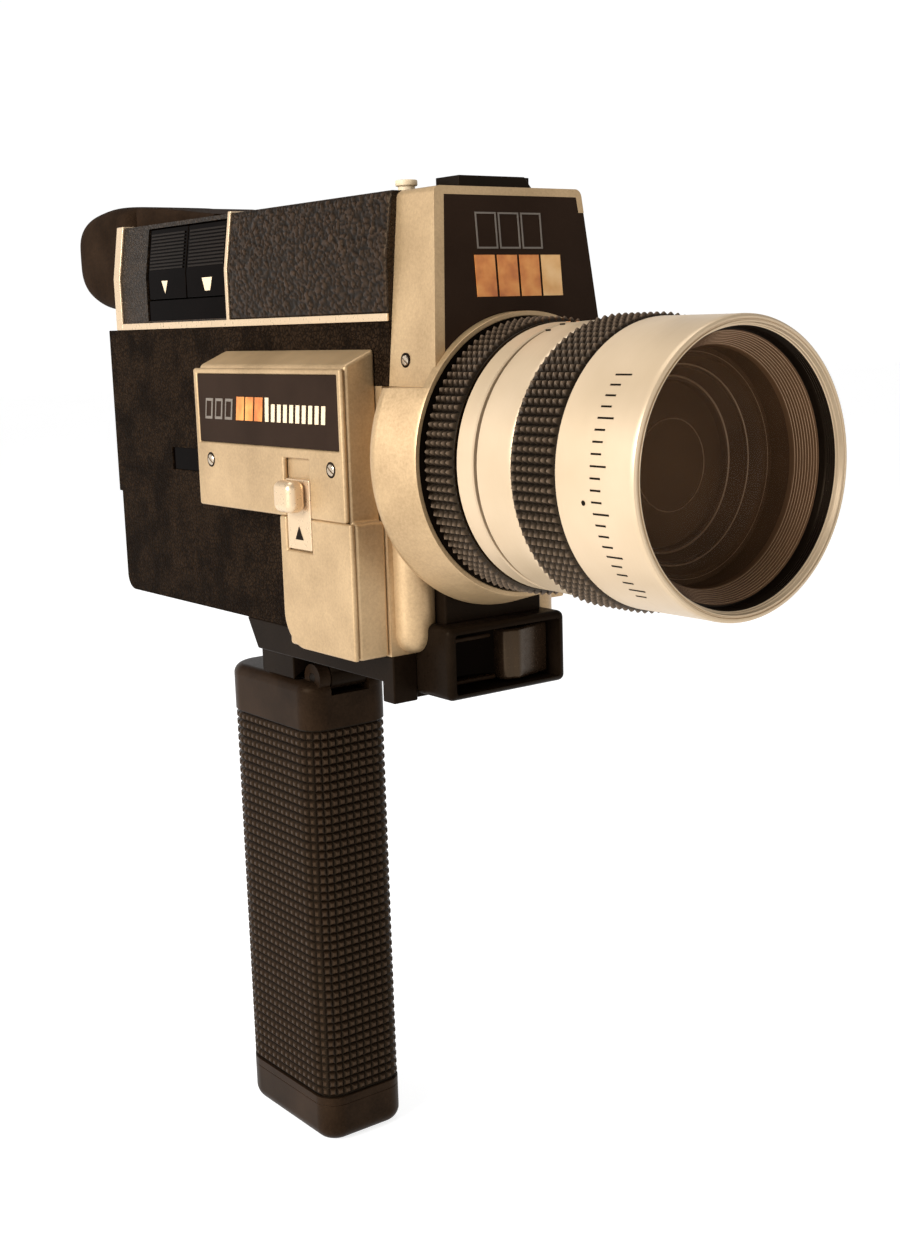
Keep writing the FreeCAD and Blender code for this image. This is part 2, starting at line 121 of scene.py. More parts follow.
def shader(name, **sockets):
    mat = bpy.data.materials.new(name)
    mat.use_nodes = True
    bsdf = mat.node_tree.nodes["Principled BSDF"]
    for key, value in sockets.items():
        bsdf.inputs[key.replace("_", " ")].default_value = value
    return mat, mat.node_tree, bsdf


def painted(name, dark, light, rough, metal, grain=2600, depth=0.00002, tint=None, fleck=0.45, **more):
    """Fine-grained finish: colour mottled between two tones, roughness and height from the same speckle."""
    mat, tree, bsdf = shader(name, Metallic=metal, **more)
    if tint:
        bsdf.inputs["Specular Tint"].default_value = (*tint, 1)
    speckle = noise(tree, grain, 3, 0.7)
    cloud = noise(tree, 55, 4, 0.55)
    tone = tree.nodes.new("ShaderNodeMath")
    tone.operation = "MULTIPLY_ADD"
    tree.links.new(speckle, tone.inputs[0])
    tone.inputs[1].default_value = fleck
    tree.links.new(remap(tree, cloud, 0.325 - fleck / 2, 0.675 - fleck / 2, 0.3, 0.7), tone.inputs[2])
    tree.links.new(ramp(tree, tone.outputs[0], [(0.25, dark), (0.75, light)]), bsdf.inputs["Base Color"])
    tree.links.new(remap(tree, speckle, rough - 0.06, rough + 0.08, 0.3, 0.7), bsdf.inputs["Roughness"])
    if depth > 0.000015:
        tree.links.new(bump(tree, speckle, 0.35, depth), bsdf.inputs["Normal"])
    return mat


def turned_metal(name, dark, light, rough, metal=0.62, **more):
    """Anodised metal turned on a lathe: fine rings along the lens axis."""
    mat, tree, bsdf = shader(name, Metallic=metal, Anisotropic=0.35, **more)
    rings = noise(tree, 900, 4, 0.7, (0.02, 2.4, 0.02))
    cloud = noise(tree, 40, 3, 0.5)
    tree.links.new(ramp(tree, cloud, [(0.3, dark), (0.7, light)]), bsdf.inputs["Base Color"])
    tree.links.new(remap(tree, rings, rough - 0.04, rough + 0.05, 0.3, 0.7), bsdf.inputs["Roughness"])
    tree.links.new(bump(tree, rings, 0.14, 0.00001), bsdf.inputs["Normal"])
    return mat


def hide(name, dark, light, size, stretch, depth, rough, level):
    """Grained leatherette: raised pebbles between wandering creases, its colour darkened into the creases as painted
    shade and mottled at random.
    """
    mat, tree, bsdf = shader(name, Specular_IOR_Level=level)
    bsdf.inputs["Specular Tint"].default_value = (1, 0.76, 0.52, 1)
    creases = remap(tree, cells(tree, size, stretch, 0.0022), 0, 1, 0.0, 0.22)
    folds = noise(tree, size * 0.45, 3, 0.6, stretch, 0.6)
    grain = noise(tree, size * 5, 3, 0.6)
    # Painted shade: the colour darkens towards each crease, times a random mottle.
    crease_shade_and_mottle = tree.nodes.new("ShaderNodeMath")
    crease_shade_and_mottle.operation = "MULTIPLY"
    tree.links.new(creases, crease_shade_and_mottle.inputs[0])
    tree.links.new(remap(tree, noise(tree, 95, 4, 0.6), 0.25, 1.15, 0.38, 0.62), crease_shade_and_mottle.inputs[1])
    tree.links.new(ramp(tree, crease_shade_and_mottle.outputs[0], [(0.0, dark), (0.8, light)]), bsdf.inputs["Base Color"])
    tree.links.new(remap(tree, grain, rough - 0.08, rough + 0.12, 0.3, 0.7), bsdf.inputs["Roughness"])
    first = bump(tree, creases, 0.9, depth)
    second = bump(tree, folds, 0.8, depth * 1.6, first)
    tree.links.new(bump(tree, grain, 0.5, depth * 0.2, second), bsdf.inputs["Normal"])
    return mat


WARM = (1, 0.72, 0.46)
SILVER = painted("satin_silver", (0.33, 0.217, 0.108), (0.52, 0.355, 0.19), 0.40, 0.5, 1500, 0.00003, fleck=0.7)
TRIM = painted("trim_silver", (0.60, 0.44, 0.275), (0.66, 0.49, 0.315), 0.30, 0.6, 700, 0.000001, fleck=0.05)
BARREL = turned_metal("turned_silver", (0.50, 0.372, 0.232), (0.585, 0.445, 0.295), 0.40, 0.4)
BLACK = painted("satin_black", (0.003, 0.0018, 0.001), (0.008, 0.0048, 0.003), 0.36, 0.0, 1800,
                tint=WARM, Specular_IOR_Level=0.08)
PLASTIC = painted("moulded_black", (0.0040, 0.0023, 0.0013), (0.0110, 0.0065, 0.0038), 0.32, 0.0, 1300, 0.00004,
                  tint=WARM, Specular_IOR_Level=0.035)
GLOSS = painted("gloss_black", (0.0008, 0.0004, 0.0003), (0.002, 0.001, 0.0008), 0.12, 0.0, 500, 0.00001,
                tint=WARM, Specular_IOR_Level=0.015)
PAD = painted("glossy_brown_black", (0.012, 0.0066, 0.0036), (0.022, 0.0125, 0.007), 0.22, 0.0, 900, 0.00001,
              tint=WARM, Specular_IOR_Level=0.4)
PLATE = painted("plate_black", (0.016, 0.0086, 0.0054), (0.026, 0.0145, 0.0092), 0.42, 0.0, 2000, 0.00001,
                tint=WARM, fleck=0.3, Specular_IOR_Level=0.03)
GRIP = painted("grip_vinyl", (0.0070, 0.0036, 0.0018), (0.0290, 0.0160, 0.0088), 0.36, 0.0, 1500, 0.00003,
               tint=WARM, Specular_IOR_Level=0.045)
RUBBER = painted("soft_rubber", (0.008, 0.0042, 0.0022), (0.026, 0.0145, 0.0082), 0.7, 0.0, 900, 0.00005,
                 tint=WARM, fleck=0.6, Specular_IOR_Level=0.02)
STEEL = painted("screw_steel", (0.45, 0.36, 0.27), (0.70, 0.58, 0.44), 0.22, 0.95, 1500)
CREAM = painted("cream_paint", (0.62, 0.48, 0.30), (0.78, 0.62, 0.41), 0.5, 0.0, 1200)
GREY = painted("grey_paint", (0.10, 0.078, 0.06), (0.16, 0.13, 0.10), 0.5, 0.0, 1200)
# Near-black for printed marks, and as painted shade on the floors of grooves and recesses.
INK_AND_SHADE = painted("dark_ink_and_shade", (0.003, 0.0018, 0.001), (0.008, 0.0048, 0.003), 0.55, 0.0, 1200,
              tint=WARM, Specular_IOR_Level=0.06)
INNER = turned_metal("inner_brown", (0.080, 0.040, 0.018), (0.125, 0.064, 0.030), 0.45, 0.0,
                     Specular_IOR_Level=0.12)
LEATHER = hide("pebbled_leather", (0.0030, 0.0015, 0.0007), (0.0200, 0.0112, 0.0058), 900, (1, 1, 1), 0.00025, 0.6,
               0.02)
WRINKLED = hide("wrinkled_leather", (0.0020, 0.0010, 0.0005), (0.0200, 0.0112, 0.0060), 900, (1, 0.8, 1.1), 0.00012,
                0.36, 0.2)


def relief_shade_paint(name, stops, rough, level, grain):
    """Tone that follows the relief modelled on the piece: dark in the hollows as painted shade, light on the crests as
    painted highlight.
    """
    mat, tree, bsdf = shader(name, Specular_IOR_Level=level)
    bsdf.inputs["Specular Tint"].default_value = (*WARM, 1)
    relief = tree.nodes.new("ShaderNodeAttribute")
    relief.attribute_name = "relief"
    tree.links.new(ramp(tree, relief.outputs["Fac"], stops), bsdf.inputs["Base Color"])
    speckle = noise(tree, grain, 3, 0.6)
    tree.links.new(remap(tree, speckle, rough - 0.06, rough + 0.1, 0.3, 0.7), bsdf.inputs["Roughness"])
    tree.links.new(bump(tree, speckle, 0.3, 0.00003), bsdf.inputs["Normal"])
    return mat


# Wrinkled tunnel leather: painted shade in the creases, painted highlight on the folds.
CREASE_SHADED = relief_shade_paint("crease_shaded_leather", [(0.0, (0.0012, 0.0006, 0.0003)), (0.4, (0.0110, 0.0060, 0.0031)),
                                           (0.9, (0.0340, 0.0190, 0.0110))], 0.38, 0.16, 3200)
# Knurl tone from the stud relief: painted shade in the valleys, painted highlight on the tips.
SHADED_KNURL = relief_shade_paint("shaded_knurl", [(0.0, (0.0012, 0.0007, 0.0004)), (0.45, (0.0100, 0.0060, 0.0036)),
                                         (1.0, (0.1300, 0.0900, 0.0600))], 0.30, 0.4, 2400)
# Grip stud tone from the relief: painted shade in the valleys, painted highlight on the tips.
SHADED_GRIP = relief_shade_paint("shaded_grip", [(0.0, (0.0020, 0.0010, 0.0005)), (0.5, (0.0120, 0.0064, 0.0034)),
                                       (1.0, (0.0310, 0.0178, 0.0100))], 0.34, 0.14, 1500)


def amber_paint(name, deep, middle, pale):
    """Warm printed paint with a little streaking."""
    mat, tree, bsdf = shader(name, Roughness=0.45)
    streak = noise(tree, 170, 3, 0.5)
    tree.links.new(ramp(tree, streak, [(0.36, deep), (0.5, middle), (0.68, pale)]), bsdf.inputs["Base Color"])
    return mat


def coated_glass(name, dark, light, cover):
    """Thin coated lens: mostly clear, with a soft brown bloom."""
    mat, tree, bsdf = shader(name, Specular_IOR_Level=0.05, Alpha=cover)
    smudge = noise(tree, 60, 3, 0.5)
    tree.links.new(ramp(tree, smudge, [(0.35, dark), (0.65, light)]), bsdf.inputs["Base Color"])
    tree.links.new(remap(tree, smudge, 0.04, 0.08, 0.3, 0.7), bsdf.inputs["Roughness"])
    return mat


AMBER = amber_paint("amber_paint", (0.44, 0.12, 0.018), (0.60, 0.20, 0.035), (0.72, 0.31, 0.07))
PALE_AMBER = amber_paint("pale_amber_paint", (0.66, 0.33, 0.10), (0.74, 0.42, 0.16), (0.80, 0.50, 0.22))
GLASS = coated_glass("coated_glass", (0.040, 0.021, 0.010), (0.075, 0.040, 0.020), 0.22)


# ---------------------------------------------------------------- making pieces

def piece(name, mesh, mat, body, *nodes, slot=None):
    obj = bpy.data.objects.new(name, mesh)
    bpy.context.scene.collection.objects.link(obj)
    mesh.materials.clear()
    mesh.materials.append(mat)
    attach(obj, body)
    if nodes:
        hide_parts(*nodes)
    return obj


def as_mesh(name, bm, angle=32):
    bmesh.ops.recalc_face_normals(bm, faces=bm.faces)
    mesh = bpy.data.meshes.new(name)
    bm.to_mesh(mesh)
    bm.free()
    mesh.polygons.foreach_set("use_smooth", [True] * len(mesh.polygons))
    mesh.set_sharp_from_angle(angle=radians(angle))
    return mesh


def lathe(profile, steps=192, centre=(0, 0), axis="y", closed=True):
    """Turn a list of (along, radius), in millimetres, about an axis through centre."""
    bm = bmesh.new()
    rings = []
    for along, radius in profile:
        ring = []
        for i in range(steps):
            a, b = radius * cos(2 * pi * i / steps), radius * sin(2 * pi * i / steps)
            spot = {"y": (centre[0] + a, along, centre[1] + b), "x": (along, centre[0] + a, centre[1] + b),
                    "z": (centre[0] + a, centre[1] + b, along)}[axis]
            ring.append(bm.verts.new(P(*spot)))
            if radius < 1e-6:
                break
        rings.append(ring)
    pairs = list(zip(rings, rings[1:] + rings[:1])) if closed else list(zip(rings, rings[1:]))
    for first, second in pairs:
        for i in range(steps):
            j = (i + 1) % steps
            if len(first) == 1 and len(second) == 1:
                break
            if len(first) == 1:
                bm.faces.new((first[0], second[i], second[j]))
            elif len(second) == 1:
                bm.faces.new((first[i], first[j], second[0]))
            else:
                bm.faces.new((first[i], first[j], second[j], second[i]))
    return bm


def outline_solid(points, low, high, axis):
    """Straight-sided solid from an outline square to one axis."""
    bm = bmesh.new()
    make = {"x": lambda u, v, w: P(w, u, v), "y": lambda u, v, w: P(u, w, v), "z": lambda u, v, w: P(u, v, w)}[axis]
    ends = [[bm.verts.new(make(u, v, w)) for u, v in points] for w in (low, high)]
    bm.faces.new(ends[0])
    bm.faces.new(ends[1][::-1])
    for i in range(len(points)):
        j = (i + 1) % len(points)
        bm.faces.new((ends[0][i], ends[0][j], ends[1][j], ends[1][i]))
    return bm


def block(x, y, z):
    return outline_solid([(x[0], y[0]), (x[1], y[0]), (x[1], y[1]), (x[0], y[1])], z[0], z[1], "z")


def soften(bm, width, segments=3, angle=25, pick=None):
    """Round the edges sharper than angle."""
    bmesh.ops.recalc_face_normals(bm, faces=bm.faces)
    edges = [e for e in bm.edges if len(e.link_faces) == 2 and e.calc_face_angle(0) > radians(angle)
             and (pick is None or pick(e))]
    bmesh.ops.bevel(bm, geom=edges, offset=width / 1000, offset_type="OFFSET", segments=segments,
                    profile=0.5, affect="EDGES", clamp_overlap=True)
    return bm


def weighted(obj):
    obj.modifiers.new("flat_faces", "WEIGHTED_NORMAL").keep_sharp = True
    return obj


def from_node(node):
    """The CAD node's own shape, welded and with its flat faces joined up."""
    bm = bmesh.new()
    bm.from_mesh(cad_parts[node].data)
    bmesh.ops.remove_doubles(bm, verts=bm.verts, dist=3e-6)
    bmesh.ops.dissolve_limit(bm, angle_limit=radians(0.8), verts=bm.verts, edges=bm.edges)
    return bm


def softened(node, mat, width, body="camera_body", segments=3, angle=25):
    bm = soften(from_node(node), width, segments, angle)
    return weighted(piece(node + "_skin", as_mesh(node + "_skin", bm), mat, body, node))


def beveled(name, bm, mat, body, width=0.2, segments=2, nodes=(), angle=25):
    return weighted(piece(name, as_mesh(name, soften(bm, width, segments, angle)), mat, body, *nodes))


def carve(obj, bm):
    """Cut one more solid out of a piece."""
    tool = bpy.data.objects.new("tool", as_mesh("tool", bm))
    bpy.context.scene.collection.objects.link(tool)
    modifier = obj.modifiers.new("cut", "BOOLEAN")
    modifier.operation, modifier.solver, modifier.object = "DIFFERENCE", "EXACT", tool
    graph = bpy.context.evaluated_depsgraph_get()
    mesh = bpy.data.meshes.new_from_object(obj.evaluated_get(graph))
    obj.modifiers.remove(modifier)
    obj.data = mesh
    bpy.data.objects.remove(tool)
    mesh.set_sharp_from_angle(angle=radians(32))
    return obj


def studs(bm, rows, closed, top=0.3):
    """Pyramids over a grid: rows are lists of (base point, outward step); each cell gets one stud."""
    relief = bm.verts.layers.float.new("relief")
    grid = [[bm.verts.new(point) for point, step in row] for row in rows]
    for r in range(len(rows) - 1):
        count = len(rows[r])
        for i in range(count if closed else count - 1):
            j = (i + 1) % count
            corners = [(r, i), (r, j), (r + 1, j), (r + 1, i)]
            spots = [rows[a][b][0] for a, b in corners]
            centre = sum(spots, Vector()) / 4
            lift = sum((rows[a][b][1] for a, b in corners), Vector()) / 4
            tops = [bm.verts.new(centre + (spot - centre) * top + lift) for spot in spots]
            # Tips marked 1 in the relief layer: the relief-shaded finishes paint them as highlight and the feet as
            # shade.
            for vert in tops:
                vert[relief] = 1
            feet = [grid[a][b] for a, b in corners]
            for k in range(4):
                bm.faces.new((feet[k], feet[(k + 1) % 4], tops[(k + 1) % 4], tops[k]))
            bm.faces.new(tops)
    return grid


def knurled(name, y0, y1, inner, base, tip, around, across, body, node):
    """Grip ring: a plain land at each end and rows of pyramids between."""
    bm = bmesh.new()
    rows = []
    for r in range(across + 1):
        y = y0 + 0.35 + (y1 - y0 - 0.7) * r / across
        row = []
        for i in range(around):
            a = 2 * pi * i / around
            out = Vector((cos(a), 0, sin(a)))
            row.append((P(0, y, 0) + out * base / 1000, out * (tip - base) / 1000))
        rows.append(row)
    grid = studs(bm, rows, True, 0.10)
    for edge, land in ((grid[0], y0), (grid[-1], y1)):
        previous = edge
        for y, radius in ((land, base), (land, inner)):
            ring = [bm.verts.new(P(radius * cos(2 * pi * i / around), y, radius * sin(2 * pi * i / around)))
                    for i in range(around)]
            for i in range(around):
                j = (i + 1) % around
                bm.faces.new((previous[i], previous[j], ring[j], ring[i]))
            previous = ring
    return piece(name, as_mesh(name, bm, 8), SHADED_KNURL, body, node)


def screw(name, spot, axis, radius, mat=STEEL, body="camera_body", turn=0.6, well=None):
    """Slotted cheese-head screw, its face towards -axis, set in a dark ring."""
    x, y, z = spot
    r = radius
    if axis == "x":
        head = [(x + 0.3, 0), (x + 0.3, r), (x - 0.12, r), (x - 0.3, r * 0.86), (x - 0.36, r * 0.4), (x - 0.36, 0)]
        ring = [(x + 0.3, r), (x - 0.06, r + 0.04), (x - 0.06, r + 0.5), (x + 0.3, r + 0.5)]
        centre, slot = (y, z), block((x - 1, x - 0.05), (y - r * 1.2, y + r * 1.2), (z - 0.22, z + 0.22))
    else:
        head = [(z - 0.3, 0), (z - 0.3, r), (z + 0.12, r), (z + 0.3, r * 0.86), (z + 0.36, r * 0.4), (z + 0.36, 0)]
        ring = [(z - 0.3, r), (z + 0.06, r + 0.04), (z + 0.06, r + 0.5), (z - 0.3, r + 0.5)]
        centre, slot = (x, y), block((x - r * 1.2, x + r * 1.2), (y - 0.22, y + 0.22), (z + 0.05, z + 1))
    pivot = P(*spot)
    spin = Matrix.Translation(pivot) @ Matrix.Rotation(turn, 4, axis.upper()) @ Matrix.Translation(-pivot)
    bmesh.ops.transform(slot, matrix=spin, verts=slot.verts)
    obj = piece(name, as_mesh(name, lathe(head, 40, centre, axis, closed=False)), mat, body)
    carve(obj, slot)
    piece(name + "_seat", as_mesh(name + "_seat", lathe(ring, 40, centre, axis)), INK_AND_SHADE, body)
    return obj


# ---------------------------------------------------------------- lens

def lens():
    focus, body = "focus_barrel", "camera_body"
    rim = [(23.3, 30), (23.3, 31.0), (23.0, 31.3), (3.0, 31.25), (1.5, 31.3), (0.7, 31.28), (0.25, 31.1), (0.0, 30.7),
           (0.0, 30.35), (0.3, 30.15), (0.3, 29.95), (0.0, 29.85), (0.05, 29.6), (0.9, 29.4), (1.0, 29.2),
           (1.5, 29.15), (1.6, 28.95), (23.3, 28.95)]
    piece("front_rim", as_mesh("front_rim", lathe(rim, 256), 28), BARREL, focus, "front_barrel", slot="barrel_silver")
    thread = [(1.6, 29.0), (1.7, 28.8)]
    for turn in range(4):
        thread += [(2.0 + turn * 0.6, 28.95), (2.3 + turn * 0.6, 28.75)]
    thread += [(4.4, 28.7), (5.4, 28.5), (5.45, 28.0), (23.0, 28.2), (23.0, 28.9)]
    piece("filter_thread", as_mesh("filter_thread", lathe(thread, 192), 25), BLACK, focus, "front_cell", slot="black_metal")
    ridges = [(5.3, 28.1)]
    for step in range(9):
        y, r = 5.4 + step * 0.5, 27.9 - step * 0.3
        ridges += [(y, r), (y + 0.34, r), (y + 0.36, r - 0.3)]
    ridges += [(10.1, 25.1), (17.5, 25.1), (17.5, 28.1)]
    piece("ridged_cone", as_mesh("ridged_cone", lathe(ridges, 192), 25), INNER, focus)
    # Thin light rings on the ridge edges: painted highlights.
    for step in range(9):
        y, r = 5.4 + step * 0.5, 27.9 - step * 0.3
        wire = [(y + 0.28, r - 0.02), (y + 0.33, r - 0.09), (y + 0.40, r - 0.05), (y + 0.36, r + 0.04)]
        piece("ridge_edge_%d" % step, as_mesh("ridge_highlight", lathe(wire, 160)), GLINT_PAINT, focus)
    dome = [(5.8 + (65 - sqrt(65 ** 2 - r * r)), r) for r in (4, 8, 12, 15, 18, 20, 22, 23.5, 24.9)]
    back = [(16.0 - 0.02 * r, r) for r in (24.9, 18, 12, 6)] + [(16.0, 0)]
    piece("front_dome", as_mesh("front_dome", lathe([(5.8, 0)] + dome + back, 128, closed=False), 40), GLASS, focus,
          "front_element", slot="glass")
    inner = [(16.1, 25.0), (16.1, 23.4), (16.5, 23.2), (16.5, 22.9), (19.5, 21.6), (19.5, 20.9), (20.0, 20.8),
             (20.0, 20.4), (23.0, 19.2), (23.0, 18.2), (24.5, 17.8), (24.5, 17.3), (28, 16.6), (28, 15.4),
             (32, 14.8), (32, 0.0)]
    piece("inner_cones", as_mesh("inner_cones", lathe(inner, 160, closed=False), 25), INNER, focus)
    # Light rings at the inner lens rims: painted highlights.
    for number, (y, r, thick) in enumerate(((16.2, 23.9, 0.16), (19.4, 21.3, 0.18), (22.9, 18.9, 0.24), (27.9, 16.2, 0.15))):
        wire = [(y - thick, r), (y, r - thick), (y + thick, r), (y, r + thick)]
        piece("lens_edge_%d" % number, as_mesh("lens_rim_highlight", lathe(wire, 128)), GLINT_PAINT, focus)
    second = [(20.6 + (46 - sqrt(46 ** 2 - r * r)), r) for r in (3, 7, 11, 14, 16.5, 18.2)]
    piece("second_dome", as_mesh("second_dome", lathe([(20.6, 0)] + second, 128, closed=False), 40), COATED, focus)
    # A light ring on the second dome: a painted glint.
    glint = [(21.75, 9.75), (21.55, 9.9), (21.75, 10.05)]
    piece("second_dome_glint", as_mesh("second_dome_glint", lathe(glint, 128)), GLINT_PAINT, focus)
    knurled("focus_grip", 23.35, 37.5, 28, 31.0, 32.2, 96, 7, focus, "focus_ring")
    collar = [(37.5, 28), (37.5, 31.1), (37.7, 31.2), (38.6, 31.2), (38.8, 31.0), (49.6, 30.62), (49.85, 30.4), (49.85, 27.6)]
    piece("focus_collar_skin", as_mesh("focus_collar_skin", lathe(collar, 256), 28), BARREL, focus, "focus_collar",
          slot="barrel_silver")
    index = [(51.15, 24.6), (51.15, 30.3), (51.4, 30.6), (56.7, 30.6), (57.1, 30.3), (57.1, 24.6)]
    piece("index_collar_skin", as_mesh("index_collar_skin", lathe(index, 256), 28), BARREL, body, "index_collar",
          slot="barrel_silver")
    # Black floor in the groove between the collars: painted shade.
    groove = [(49.9, 24.6), (49.9, 28.4), (51.1, 28.4), (51.1, 24.6)]
    piece("collar_groove", as_mesh("collar_groove", lathe(groove, 192)), INK_AND_SHADE, body)
    knurled("zoom_grip", 57.55, 67.9, 24.6, 30.8, 32.05, 96, 5, "zoom_ring", "zoom_ring")
    for number, degrees in enumerate((112, 104, 98, 93, 89, 84, 78, 70)):
        a = radians(degrees)
        tall = 2.6 if number == 3 else 1.5
        tick = block((-0.16, 0.16), (49.4 - tall, 49.4), (30.3, 30.95))
        bmesh.ops.transform(tick, matrix=about_lens(a - pi / 2), verts=tick.verts)
        piece("distance_tick_%d" % number, as_mesh("tick", tick), INK_AND_SHADE, focus)
    mark = block((-0.22, 0.22), (51.3, 56.4), (30.3, 30.68))
    bmesh.ops.transform(mark, matrix=about_lens(radians(3)), verts=mark.verts)
    piece("index_mark", as_mesh("index_mark", mark), AMBER, body)
    for number in range(22):
        long = number % 4 == 0
        dash = block((-0.2, 0.2), (8.0 if long else 9.6, 12.6), (30.9, 31.34))
        bmesh.ops.transform(dash, matrix=about_lens(radians(-50 - number * 4.4)), verts=dash.verts)
        piece("barrel_scale_%d" % number, as_mesh("dash", dash), INK_AND_SHADE, focus)
    hole = lathe([(-31.35, 0), (-31.35, 0.55), (-30.9, 0.55)], 24, (15, 0), "x", closed=False)
    bmesh.ops.transform(hole, matrix=about_lens(radians(-9)), verts=hole.verts)
    piece("barrel_set_screw", as_mesh("barrel_set_screw", hole), INK_AND_SHADE, focus)


def about_lens(angle):
    """Turn about the lens axis, from upright towards -X when negative."""
    pivot = P(0, 0, 0)
    return Matrix.Translation(pivot) @ Matrix.Rotation(angle, 4, "Y") @ Matrix.Translation(-pivot)


COATED = painted("coated_dome", (0.085, 0.044, 0.021), (0.120, 0.064, 0.031), 0.6, 0.0, 200, 0.000001,
                 tint=WARM, fleck=0.05, Specular_IOR_Level=0.03)
# Light brown for the thin rings that stand for lit edges inside the lens: painted highlight.
GLINT_PAINT = painted("painted_glint", (0.34, 0.20, 0.11), (0.48, 0.30, 0.17), 0.35, 0.3)
lens()


# ---------------------------------------------------------------- castings, covers and shells

def castings():
    flange()
    housing()
    softened("front_casting", SILVER, 0.7)
    softened("side_housing", SILVER, 0.9)
    softened("upper_cover", SILVER, 0.7)
    softened("lower_cover", SILVER, 0.6)
    softened("side_nameplate", PLATE, 0.1)
    softened("left_cover", SILVER, 1.2)
    trigger_box()
    softened("base_block", PLASTIC, 0.9)
    softened("body_shell", LEATHER, 0.7)
    softened("upper_body", WRINKLED, 0.6)
    softened("film_door", LEATHER, 0.5, "film_door")
    softened("accessory_shoe", BLACK, 0.15)
    softened("key_sill", GLOSS, 0.15)
    softened("body_trim", TRIM, 0.12)
    softened("rear_trim", TRIM, 0.5)
    softened("counter_window", GLOSS, 0.1)
    softened("door_latch", BLACK, 0.4, "door_latch")
    softened("door_hinge", BLACK, 0.1)
    softened("dioptre_knob", BLACK, 0.4, "dioptre_knob")
    softened("top_button", CREAM, 0.3, "top_button")
    softened("tripod_bush", STEEL, 0.1)


def trigger_box():
    """Box under the lens with rounded edges, open at the front for the trigger."""
    shell = soften(block((-18.3, 18.3), (78, 94), (-58.5, -40.5)), 1.7, 6)
    obj = piece("trigger_box", as_mesh("trigger_box", shell, 40), PLASTIC, "camera_body", "trigger_housing")
    carve(obj, soften(block((-16.4, 16.4), (70, 92.4), (-57.1, -42.3)), 0.8, 4))
    neck = beveled("trigger_neck", block((-15, 15), (83.6, 92), (-40.8, -31)), PLASTIC, "camera_body", 0.6, 3)
    carve(neck, lathe([(70, 0), (70, 36.9), (83.6, 36.9), (83.6, 0)], 128))


def flange():
    """Flared ring behind the lens, cut away where the finder housing stands over it."""
    profile = [(68.3, 33.3), (68.3, 32.4), (68.45, 32.2), (68.8, 32.15), (68.8, 24.6), (92.0, 24.6), (92.0, 25.0),
               (83.5, 25.0), (83.5, 33.4), (83.3, 34.9), (82.6, 35.9), (81.6, 36.5), (80.5, 36.8), (79.5, 36.62),
               (69.2, 33.62), (68.6, 33.5)]
    obj = piece("lens_flange_skin", as_mesh("lens_flange_skin", lathe(profile, 256), 28), SILVER, "camera_body",
                "lens_flange")
    for radius, first in ((33.4, 60), (25.05, 71)):
        side = asin(17 / radius)
        arc = [(radius * cos(a), radius * sin(a)) for a in (pi - side - k * (pi - 2 * side) / 48 for k in range(49))]
        carve(obj, outline_solid([(-40, 17)] + arc + [(40, 17), (40, 40), (-40, 40)], first, 96, "y"))
    # Black ring in the recess between the lip and the knurl: painted shade.
    well = [(68.6, 24.7), (68.6, 32.16), (68.78, 32.16), (68.78, 24.7)]
    piece("flange_well", as_mesh("flange_well", lathe(well, 192)), INK_AND_SHADE, "camera_body")
    return weighted(obj)


def housing():
    """Leaning finder housing, its two top corners well rounded, with the black front panel."""
    bm = from_node("finder_housing")
    along = lambda e: abs((e.verts[0].co - e.verts[1].co).normalized().y) > 0.85
    roof = lambda e: min(v.co.z for v in e.verts) > (61 + AXIS_Z) / 1000 and e.calc_length() > 0.004 \
        and abs(e.verts[0].co.x) > 0.02
    soften(bm, 1.6, 5, 25, lambda e: along(e) and roof(e))
    soften(bm, 0.55, 3, 40)
    weighted(piece("finder_housing_skin", as_mesh("finder_housing_skin", bm), SILVER, "camera_body", "finder_housing"))
    softened("front_panel", PLATE, 0.2)


castings()


def side_controls():
    bm = soften(block((-35.3, -34.1), (110.4, 121.3), (-23, -5.5)), 0.3)
    knob = block((-40.5, -35.2), (111.5, 120), (-13.5, -5.5))
    soften(knob, 2.2, 8)
    weighted(piece("lever_plate", as_mesh("lever_plate", bm), TRIM, "run_lever", "run_lever", slot="silver"))
    weighted(piece("lever_knob", as_mesh("lever_knob", knob), TRIM, "run_lever", slot="silver"))
    for number, (y, z) in enumerate(((158.4, -2.6), (99.9, -2.4))):
        head = screw("cover_screw_%d" % number, (-35.5, y, z), "x", 1.45)
        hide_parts("cover_screws")
    arrow = outline_solid([(114.0, -20.5), (117.6, -20.5), (115.8, -17.2)], -35.42, -35.1, "x")
    piece("lever_arrow", as_mesh("lever_arrow", arrow), INK_AND_SHADE, "run_lever")
    for side, (node, z) in enumerate((("exposure_dial", 6), ("speed_dial", -20))):
        dial = [(30.2, 0), (30.2, 10.2), (30.5, 10.8), (33.6, 10.8), (34.0, 10.2), (34.1, 8.2), (33.7, 7.8),
                (33.7, 0)]
        piece(node + "_skin", as_mesh(node, lathe(dial, 96, (119, z), "x", closed=False)), BLACK, node, node)
        bar = block((33.6, 34.4), (118.2, 119.8), (z - 7, z + 7))
        beveled(node + "_bar", bar, SILVER, node, 0.2)
        for number in range(30):
            a = 2 * pi * number / 30
            rib = block((30.7, 33.6), (118.7, 119.3), (z + 10.6, z + 11.0))
            pivot = P(0, 119, z)
            spin = Matrix.Translation(pivot) @ Matrix.Rotation(a, 4, "X") @ Matrix.Translation(-pivot)
            bmesh.ops.transform(rib, matrix=spin, verts=rib.verts)
            piece("%s_rib_%d" % (node, number), as_mesh("rib", rib), BLACK, node)


side_controls()


